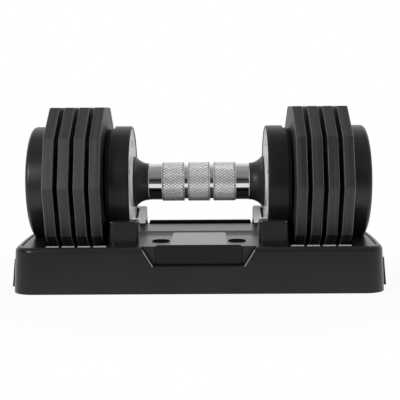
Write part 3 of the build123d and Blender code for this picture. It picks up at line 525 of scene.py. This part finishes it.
TARNISH_SIZE = 0.012
STEELS = (  # name, darkest, palest, roughness from and to, marks, depth
    ("grip_chrome", 0.68, 0.74, 0.05, 0.09, plated, 0.000002),
    ("sleeve_steel", 0.34, 0.44, 0.28, 0.42, turned, 0.000015),
    ("rod_steel", 0.46, 0.56, 0.18, 0.30, ground, 0.000008),
    ("hook_steel", 0.30, 0.40, 0.30, 0.46, milled, 0.000015),
    ("rail_steel", 0.26, 0.36, 0.32, 0.48, milled, 0.000015),
    ("spring_steel", 0.36, 0.48, 0.22, 0.36, plated, 0.000004),
    ("screw_steel", 0.38, 0.50, 0.26, 0.40, plated, 0.000006),
    ("core_iron", 0.07, 0.12, 0.55, 0.75, cast, 0.00012),
)
for name, dark, pale, *numbers in STEELS:
    metal(name, grey(dark), grey(pale), *numbers)
metal("dial_metal", grey(0.56), grey(0.64), 0.36, 0.46, brushed, 0.00001, metallic=0.05)
metal("bush_bronze", (0.42, 0.26, 0.10), (0.52, 0.34, 0.15), 0.26, 0.40, turned, 0.000012)
print("metals", [name for name, *numbers in STEELS] + ["dial_metal", "bush_bronze"])

# %% [markdown]
# The knurl is chrome too, but its many small faces scatter the light, and its grooves are painted
# dark as shade. An attribute of the mesh, knurl_height, tells the pale tops from the shaded
# grooves.

# %% Satin chrome of the knurl
GROOVE_SHADE_GREY, TOP_GREY = 0.03, 0.97
KNURL_SMOOTH, KNURL_ROUGH = 0.26, 0.36
material, tree, shader = new_finish("knurl_chrome", grey(TOP_GREY), KNURL_SMOOTH, metallic=0.75)
height = add_node(tree, "ShaderNodeAttribute", attribute_name="knurl_height")
# Painted shade: the grooves are coloured near-black where shade would fall between the diamonds.
groove_shade = add_node(tree, "ShaderNodeMix", data_type="RGBA")
tree.links.new(height.outputs["Fac"], groove_shade.inputs["Factor"])
groove_shade.inputs["A"].default_value = (*grey(GROOVE_SHADE_GREY), 1)
groove_shade.inputs["B"].default_value = (*grey(TOP_GREY), 1)
tree.links.new(groove_shade.outputs["Result"], shader.inputs["Base Color"])
rough = spread(tree, plated(tree), KNURL_SMOOTH, KNURL_ROUGH)
feed(tree, rough, shader.inputs["Roughness"])
finishes["knurl_chrome"] = material
print("finishes", len(finishes))

# %% [markdown]
# ### Dressing the solids
# The finishes could be given to the nodes one by one. But the record of the frame names a material
# slot for every CAD node, so one loop does it, and the meshes themselves stay as they are.

# %% Dress the CAD nodes
for part in frame["record"]["subparts"]:
    mesh = frame["nodes"][part["node"]].data
    mesh.materials.clear()
    mesh.materials.append(finishes[part["material_slot"]])

# %% [markdown]
# ## Pieces that Blender adds
# All the pieces below are made in the same way. A bmesh holds the shape, with its place in the
# mesh, and the function here makes it an object that rides on one of the moving bodies.

# %% From bmesh to piece
SIDES = ((-1, "left"), (1, "right"))
AXIS = Vector((0, 0, AXIS_HEIGHT))
FULL_TURN = 2 * math.pi


def add_piece(bm, name, body, *materials, slot=None):
    mesh = bpy.data.meshes.new(name)
    bm.to_mesh(mesh)
    print(name, len(bm.faces), "faces, open edges:", sum(e.is_boundary for e in bm.edges))
    bm.free()
    for material in materials:
        mesh.materials.append(material)
    piece = bpy.data.objects.new(name, mesh)
    scene.collection.objects.link(piece)
    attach(piece, body)
    return piece


def keep_sharp(bm, degrees):
    """Smooth shading breaks at edges that bend by more than this."""
    for edge in bm.edges:
        edge.smooth = edge.calc_face_angle(0.0) < math.radians(degrees)


# %% [markdown]
# ## Knurled grip
# The grip is a chromed tube with three raised bands, cut with a diamond knurl so that it doesn't
# slip in the hand. A bump could fake the diamonds, but they show on the outline and in the mirror
# of the chrome, so they are real. One profile of the tube is spun by a single diamond's width.
# There, every other point of the bands is pushed in as a valley and the others are pulled out to
# peaks. That narrow strip is copied all the way round, and a bevel cuts the peaks to flat tops.

# %% Grip sizes, in metres from the middle of the grip
BAND_RADIUS, BAND_EDGE = 0.0195, 0.0005
GROOVE_RADIUS, NECK_RADIUS = 0.0174, 0.0183
SPIGOT_RADIUS, BORE_RADIUS = 0.0162, 0.014
CENTRE_BAND_END = 0.011
OUTER_BAND_START, OUTER_BAND_END = 0.0144, 0.0369
NECK_END, SPIGOT_END = 0.0506, 0.0646
LIP_LENGTH, LIP_RISE = 0.0022, 0.00028
DIAMONDS_ROUND, KNURL_ROWS = 42, 10
KNURL_DEPTH, PEAK_CUT = 0.00035, 0.0008
NO_ROW = -1
VALLEY, PLAIN, PEAK = 0.0, 1.0, 2.0
MERGE_DISTANCE = 1e-6
KNURL_SHARP = 20


# %% Profile of the tube
def band_profile(start, end):
    """Points across one band: its bevelled shoulders, and the knurl rows between them."""
    shoulder = BAND_RADIUS - BAND_EDGE
    first, last = start + BAND_EDGE, end - BAND_EDGE
    across = [first + (last - first) * row / KNURL_ROWS for row in range(KNURL_ROWS + 1)]
    return (
        [(start, shoulder, NO_ROW)]
        + [(x, BAND_RADIUS, row) for row, x in enumerate(across)]
        + [(end, shoulder, NO_ROW)]
    )


right_side = [
    (CENTRE_BAND_END, GROOVE_RADIUS, NO_ROW),
    (OUTER_BAND_START, GROOVE_RADIUS, NO_ROW),
    *band_profile(OUTER_BAND_START, OUTER_BAND_END),
    (OUTER_BAND_END, NECK_RADIUS, NO_ROW),
    (NECK_END - LIP_LENGTH, NECK_RADIUS, NO_ROW),
    (NECK_END - 0.7 * LIP_LENGTH, NECK_RADIUS + 0.7 * LIP_RISE, NO_ROW),
    (NECK_END - 0.4 * LIP_LENGTH, NECK_RADIUS + LIP_RISE, NO_ROW),
    (NECK_END, NECK_RADIUS, NO_ROW),
    (NECK_END, SPIGOT_RADIUS, NO_ROW),
    (SPIGOT_END, SPIGOT_RADIUS, NO_ROW),
    (SPIGOT_END, BORE_RADIUS, NO_ROW),
]
left_side = [(-x, radius, row) for x, radius, row in reversed(right_side)]
profile = left_side + band_profile(-CENTRE_BAND_END, CENTRE_BAND_END) + right_side
print("grip profile:", len(profile), "points")

# %% Spin one diamond's width
one_diamond = FULL_TURN / DIAMONDS_ROUND
bm = bmesh.new()
rows = bm.verts.layers.int.new("knurl_row")
heights = bm.verts.layers.float.new("knurl_height")
chain = []
for x, radius, row in profile:
    point = bm.verts.new((x, 0, AXIS_HEIGHT + radius))
    point[rows] = row
    point[heights] = PLAIN
    chain.append(point)
edges = [bm.edges.new(pair) for pair in zip(chain, chain[1:] + chain[:1])]
bmesh.ops.spin(bm, geom=chain + edges, cent=AXIS, axis=(1, 0, 0), angle=one_diamond, steps=2)
print("strip:", len(bm.verts), "points,", len(bm.faces), "faces")

# %% Push in the valleys, pull out the peaks
for point in bm.verts:
    if point[rows] == NO_ROW:
        continue
    offset = point.co - AXIS
    column = round(math.atan2(-offset.y, offset.z) / (one_diamond / 2))
    outward = Vector((0, offset.y, offset.z)).normalized()
    if (point[rows] + column) % 2 == 0:
        point.co -= outward * KNURL_DEPTH
        point[heights] = VALLEY
    elif 0 < point[rows] < KNURL_ROWS:
        point.co += outward * PEAK_CUT
        point[heights] = PEAK
for face in list(bm.faces):
    low = [point for point in face.verts if point[heights] == VALLEY]
    face.smooth = not low
    face.material_index = int(bool(low))
    if len(low) == 2 and len(face.verts) == 4 and all(p[rows] != NO_ROW for p in face.verts):
        bmesh.utils.face_split(face, *low)
print("valleys in the strip:", sum(point[heights] == VALLEY for point in bm.verts))

# %% Copy the strip round and cut the peaks
bmesh.ops.spin(
    bm,
    geom=bm.verts[:] + bm.edges[:] + bm.faces[:],
    cent=AXIS,
    axis=(1, 0, 0),
    angle=FULL_TURN - one_diamond,
    steps=DIAMONDS_ROUND - 1,
    use_duplicate=True,
)
bmesh.ops.remove_doubles(bm, verts=bm.verts, dist=MERGE_DISTANCE)
bmesh.ops.recalc_face_normals(bm, faces=bm.faces)
bmesh.ops.bevel(
    bm,
    geom=[point for point in bm.verts if point[heights] == PEAK],
    offset=100 * PEAK_CUT / (PEAK_CUT + KNURL_DEPTH),
    offset_type="PERCENT",
    affect="VERTICES",
    segments=1,
    profile=0.5,
    material=-1,
)
# knurl_height ends as 0 in the grooves and 1 elsewhere, the mask of the painted groove shade.
for point in bm.verts:
    point[heights] = float(point[heights] > VALLEY)
keep_sharp(bm, KNURL_SHARP)
knurled_grip = add_piece(
    bm,
    "knurled_grip",
    "handle",
    finishes["grip_chrome"],
    finishes["knurl_chrome"],
    slot="grip_chrome",
)
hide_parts("grip_tube")

# %% [markdown]
# ## Dial numbers
# Each drum has a pale dial with the weight settings round it. The numbers are thin raised print:
# text turned into a mesh, then stood on the dial so that it reads from the hand's side. An image
# could carry them, but a mesh stays sharp from close by.

# %% Dial sizes and ink
DIAL_FACE_X = 0.0673
SETTINGS = ("2.5", "5", "7.5", "10", "12.5")
SETTING_ANGLE, FIRST_ANGLE = math.radians(72), math.radians(90)
NUMBER_RADIUS, NUMBER_SIZE = 0.0385, 0.0105
TICK_INNER, TICK_OUTER, TICK_WIDTH = 0.0462, 0.0508, 0.0011
MINOR_TICKS, MINOR_LENGTH, MINOR_WIDTH = 6, 0.45, 0.55
TICK_TAPER = 0.6
PRINT_HEIGHT = 0.00012
CURVE_STEPS = 4
INK_GRAIN, INK_DARK, INK_PALE, INK_ROUGH = 0.0008, 0.09, 0.12, 0.5

ink, tree, shader = new_finish("dial_ink", grey(INK_DARK), INK_ROUGH)
tint(tree, shader, grain(tree, INK_GRAIN, 3.0), grey(INK_DARK), grey(INK_PALE))
print("settings", SETTINGS)


# %% Helpers that stand a mesh on a dial
def dial_place(side, angle, radius):
    """Text space to the dial: x reads to the right, y points away from the axis, z off the face."""
    off_face = Vector((-side, 0, 0))
    outward = Vector((0, math.cos(angle), math.sin(angle)))
    across = outward.cross(off_face)
    spot = AXIS + outward * radius + Vector((side * DIAL_FACE_X, 0, 0))
    turn = Matrix((across, outward, off_face)).transposed().to_4x4()
    return Matrix.Translation(spot) @ turn


def number_mesh(text):
    curve = bpy.data.curves.new("number", "FONT")
    curve.body, curve.size = text, NUMBER_SIZE
    curve.align_x, curve.align_y = "CENTER", "CENTER"
    curve.extrude = PRINT_HEIGHT
    curve.resolution_u = CURVE_STEPS
    holder = bpy.data.objects.new("number", curve)
    mesh = bpy.data.meshes.new_from_object(holder)
    bpy.data.objects.remove(holder)
    bpy.data.curves.remove(curve)
    return mesh


def add_tick(bm, place, width, length):
    tick = bmesh.ops.create_cube(bm, size=1.0)["verts"]
    bmesh.ops.scale(bm, verts=tick, vec=(width, length, 2 * PRINT_HEIGHT))
    tip = [v for v in tick if v.co.y > 0]
    bmesh.ops.scale(bm, verts=tip, vec=(TICK_TAPER, 1, 1))
    bmesh.ops.transform(bm, verts=tick, matrix=place)


# %% Print both dials
for side, name in SIDES:
    bm = bmesh.new()
    for setting, text in enumerate(SETTINGS):
        angle = FIRST_ANGLE + setting * SETTING_ANGLE
        mesh = number_mesh(text)
        mesh.transform(dial_place(side, angle, NUMBER_RADIUS))
        bm.from_mesh(mesh)
        bpy.data.meshes.remove(mesh)
        for minor in range(MINOR_TICKS):
            length = (TICK_OUTER - TICK_INNER) * (MINOR_LENGTH if minor else 1.0)
            width = TICK_WIDTH * (MINOR_WIDTH if minor else 1.0)
            tick_angle = angle + SETTING_ANGLE * minor / MINOR_TICKS
            add_tick(bm, dial_place(side, tick_angle, TICK_OUTER - length / 2), width, length)
    add_piece(bm, f"dial_marks_{name}", "frame", ink)

# %% [markdown]
# ## Pointers
# A small raised arrow on each collar shows which setting is chosen. A flat arrow could be bent with
# a modifier, but it has to lie exactly on the flare of the collar. So an edge as wide as the
# arrow's tail is spun along the flare's own arc, narrowed towards the tip and given a thickness.

# %% Pointers on the collars
FLARE_START_X, FLARE_START_RADIUS, FLARE_ARC = 0.0506, 0.0186, 0.015571
POINTER_FROM, POINTER_TO = math.radians(24), math.radians(51)
POINTER_WIDTH, POINTER_RISE = 0.0046, 0.00035
POINTER_TAPER, POINTER_STEPS = 0.85, 8
PAINT_GRAIN, PAINT_DARK, PAINT_PALE, PAINT_ROUGH = 0.001, 0.64, 0.74, 0.45

pointer_paint, tree, shader = new_finish("pointer_paint", grey(PAINT_PALE), PAINT_ROUGH)
tint(tree, shader, grain(tree, PAINT_GRAIN, 3.0), grey(PAINT_DARK), grey(PAINT_PALE))

for side, name in SIDES:
    arc_centre = AXIS + Vector((side * FLARE_START_X, 0, FLARE_START_RADIUS + FLARE_ARC))
    bm = bmesh.new()
    tail = [
        bm.verts.new(arc_centre + Vector((0, half, POINTER_RISE - FLARE_ARC)))
        for half in (-POINTER_WIDTH / 2, POINTER_WIDTH / 2)
    ]
    start = Matrix.Rotation(-side * POINTER_FROM, 3, "Y")
    bmesh.ops.rotate(bm, verts=tail, cent=arc_centre, matrix=start)
    bmesh.ops.spin(
        bm,
        geom=tail + [bm.edges.new(tail)],
        cent=arc_centre,
        axis=(0, -side, 0),
        angle=POINTER_TO - POINTER_FROM,
        steps=POINTER_STEPS,
    )
    for point in bm.verts:
        around = abs(math.atan2(point.co.x - arc_centre.x, arc_centre.z - point.co.z))
        along = (around - POINTER_FROM) / (POINTER_TO - POINTER_FROM)
        point.co.y *= 1 - POINTER_TAPER * along
    bmesh.ops.recalc_face_normals(bm, faces=bm.faces)
    bmesh.ops.solidify(bm, geom=bm.faces[:], thickness=2 * POINTER_RISE)
    bmesh.ops.recalc_face_normals(bm, faces=bm.faces)
    add_piece(bm, f"pointer_{name}", "handle", pointer_paint)

# %% [markdown]
# ## Pale pads in the cradles
# Beside each drum, the horns of its cradle carry a pale pad that shows under the grip. It is a
# painted reflection of the white sweep, laid on the band of the curve that would mirror it. Some
# faces of the cradle could be copied for it, but the CAD mesh is loose triangles. The pad is a thin
# skin on the cradle's own curve, so a short edge along the handle is spun round the handle's axis
# and given a thickness. Towards the top the pad draws back from the drum, which leaves the black
# cradle showing as a dark gap.

# %% Cradle pads
CRADLE_RADIUS = 0.0566
PAD_INNER_X, PAD_OUTER_X, PAD_SLANT = 0.0574, 0.0667, 0.0026
PAD_LOW, PAD_HIGH = math.radians(34), math.radians(55.5)
PAD_THICKNESS = 0.0006
PAD_STEPS = 10
PAD_MIDDLE_X = (PAD_INNER_X + PAD_OUTER_X) / 2
for side, name in SIDES:
    bm = bmesh.new()
    for depth in (-1, 1):
        ends = [
            bm.verts.new((side * x, 0, AXIS_HEIGHT - CRADLE_RADIUS + PAD_THICKNESS))
            for x in (PAD_INNER_X, PAD_OUTER_X)
        ]
        start = Matrix.Rotation(depth * PAD_LOW, 3, "X")
        bmesh.ops.rotate(bm, verts=ends, cent=AXIS, matrix=start)
        bmesh.ops.spin(
            bm,
            geom=ends + [bm.edges.new(ends)],
            cent=AXIS,
            axis=(depth, 0, 0),
            angle=PAD_HIGH - PAD_LOW,
            steps=PAD_STEPS,
        )
    for point in bm.verts:
        if abs(point.co.x) > PAD_MIDDLE_X:
            angle = math.atan2(abs(point.co.y), AXIS_HEIGHT - point.co.z)
            point.co.x -= side * PAD_SLANT * (angle - PAD_LOW) / (PAD_HIGH - PAD_LOW)
    for face in bm.faces:
        face.normal_update()
        if face.normal.dot(AXIS - face.calc_center_median()) < 0:
            face.normal_flip()
    bmesh.ops.solidify(bm, geom=bm.faces[:], thickness=PAD_THICKNESS)
    bmesh.ops.recalc_face_normals(bm, faces=bm.faces)
    # Painted reflection: the pale pad stands for the white sweep mirrored in the cradle's curve.
    pad = finishes["reflection_pad_plastic"]
    add_piece(bm, f"cradle_reflection_pads_{name}", "tray", pad, slot="buffer_plastic")

# %% [markdown]
# ## Rims of the drums
# Three thin edges finish each drum: a black bead round the dial, a pale bead where the dial meets
# the collar, and a black guard on the outer side that hides the gap to the first plate. A torus is
# quicker but round all over, while these edges are flat with small rounds, so an outline of each is
# spun round the handle's axis. The guard is spun as two arcs, so that the plate's rail still has
# its way through at the top and at the bottom.


# %% Spin an outline
def spin_outline(bm, points, cent, axis, steps, start=0.0, angle=FULL_TURN):
    """Makes a ring, or an arc with closed ends, from the points of a closed outline."""
    corners = [bm.verts.new(point) for point in points]
    section = [bm.edges.new(pair) for pair in zip(corners, corners[1:] + corners[:1])]
    whole = angle == FULL_TURN
    if not whole:
        section.append(bm.faces.new(corners))
    bmesh.ops.rotate(bm, verts=corners, cent=cent, matrix=Matrix.Rotation(start, 3, axis))
    bmesh.ops.spin(
        bm,
        geom=corners + section,
        cent=cent,
        axis=axis,
        angle=angle,
        steps=steps,
        use_merge=whole,
    )


RIM_SHARP = 50


def round_off(bm):
    bmesh.ops.recalc_face_normals(bm, faces=bm.faces)
    for face in bm.faces:
        face.smooth = True
    keep_sharp(bm, RIM_SHARP)


# %% Beads and guards, as distance from the middle and radius
DIAL_BEAD = (
    (0.0673, 0.0534), (0.0668, 0.0535), (0.0666, 0.0538),
    (0.0666, 0.0551), (0.0668, 0.0555), (0.0673, 0.0556),
)
COLLAR_BEAD = (
    (0.0673, 0.0231), (0.0652, 0.0231), (0.0650, 0.0233),
    (0.0650, 0.0247), (0.0653, 0.0251), (0.0673, 0.0252),
)
GUARD = (
    (0.0870, 0.0516), (0.0888, 0.0516), (0.0892, 0.0520),
    (0.0892, 0.0553), (0.0888, 0.0558), (0.0870, 0.0559),
)
GUARD_OPENING = math.radians(17)
GUARD_ARC = math.pi - 2 * GUARD_OPENING
RING_STEPS = 120
WHOLE_RING = ((0.0, FULL_TURN),)
TWO_ARCS = ((GUARD_OPENING, GUARD_ARC), (math.pi + GUARD_OPENING, GUARD_ARC))
for rim, outline, finish, arcs in (
    ("dial_bead", DIAL_BEAD, "drum_plastic", WHOLE_RING),
    ("collar_bead", COLLAR_BEAD, "dial_metal", WHOLE_RING),
    ("rail_guard", GUARD, "drum_plastic", TWO_ARCS),
):
    for side, name in SIDES:
        bm = bmesh.new()
        points = [(side * x, 0, AXIS_HEIGHT + radius) for x, radius in outline]
        for start, angle in arcs:
            spin_outline(bm, points, AXIS, Vector((1, 0, 0)), RING_STEPS, start, angle)
        round_off(bm)
        add_piece(bm, f"{rim}_{name}", "frame", finishes[finish], slot=finish)

# %% [markdown]
# ## Rings of the bolt wells
# A soft raised ring sits round each bolt well of the deck. It is near-black and almost
# unreflecting, which paints the shade round the well's mouth. Its outline is spun round the well
# in the same way, only about an upright axis.

# %% Well rings, as radius and height
WELL_X, WELL_Y = 0.0365, -0.0508
GROMMET = (
    (0.0071, 0.0440), (0.0071, 0.0446), (0.0074, 0.0449),
    (0.0081, 0.0449), (0.0085, 0.0446), (0.0086, 0.0440),
)
GROMMET_STEPS = 48
for side, name in SIDES:
    well = Vector((side * WELL_X, WELL_Y, 0))
    bm = bmesh.new()
    points = [well + Vector((radius, 0, z)) for radius, z in GROMMET]
    spin_outline(bm, points, well, Vector((0, 0, 1)), GROMMET_STEPS)
    round_off(bm)
    # Painted shade: the near-black ring stands for the shade round the well's mouth.
    rubber = finishes["well_shade_rubber"]
    add_piece(bm, f"well_shade_ring_{name}", "tray", rubber, slot="foot_rubber")

# %% Print the visual box
low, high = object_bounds()
print("visual box", [round(v, 4) for v in (*low, *high)])
